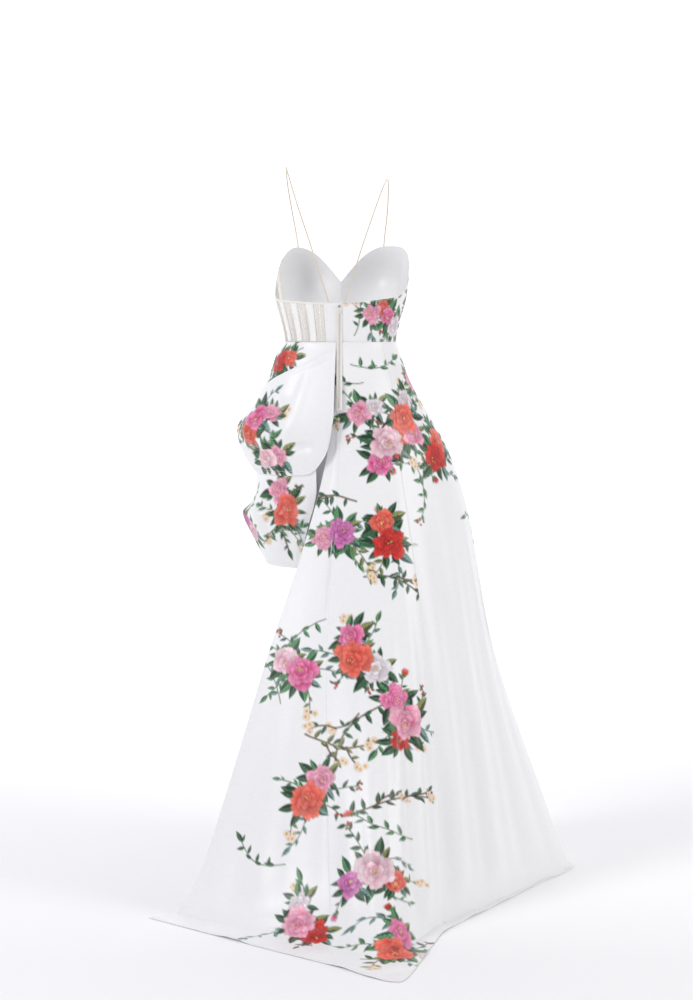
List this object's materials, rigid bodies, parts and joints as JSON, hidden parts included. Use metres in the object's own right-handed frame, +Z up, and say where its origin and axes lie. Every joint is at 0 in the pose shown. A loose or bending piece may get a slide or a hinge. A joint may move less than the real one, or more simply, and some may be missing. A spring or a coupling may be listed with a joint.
{
  "type": "corset mini dress with floor-length train",
  "caption": "Asymmetric strapped corset mini dress in flowered white satin, with a draped left hip, a boned net back panel and a long train from the waist",
  "frame": {"origin": "midway between the tops of the two shoulder straps, where the wearer's shoulders carry the dress", "axes": "+Z up, +Y the way the wearer faces, +X to the wearer's right"},
  "size_m": [0.8864, 1.041, 1.4966],
  "materials": {
    "satin": "white duchesse satin with a garden-flower print",
    "net": "sheer stiff net",
    "bone_tape": "white satin boning tape",
    "trim": "cream satin binding, cord and zip tape",
    "metal": "small silvered hook and eye"
  },
  "bodies": {
    "root": {"satin_back_right": "satin", "satin_side_right": "satin", "satin_front_right": "satin", "cup_left": "satin", "cup_right": "satin", "placket_left": "satin", "mini_back_left": "satin", "mini_back_right": "satin", "mini_front": "satin", "hip_pleat": "satin", "upper_cowl": "satin", "lower_swag": "satin", "train_back_left": "satin", "train_back_right": "satin", "train_side": "satin", "train_front": "satin", "net_back_left": "net", "net_side_left": "net", "net_front_left": "net", "bone_casing_1": "bone_tape", "bone_casing_2": "bone_tape", "bone_casing_3": "bone_tape", "bone_casing_4": "bone_tape", "bone_casing_5": "bone_tape", "bone_casing_6": "bone_tape", "bone_casing_7": "bone_tape", "bone_casing_8": "bone_tape", "top_binding": "trim", "strap_left": "trim", "strap_right": "trim", "zip_tape": "trim", "zip_coil": "trim", "zip_slider": "trim", "hook": "metal", "eye": "metal"}
  },
  "joints": []
}
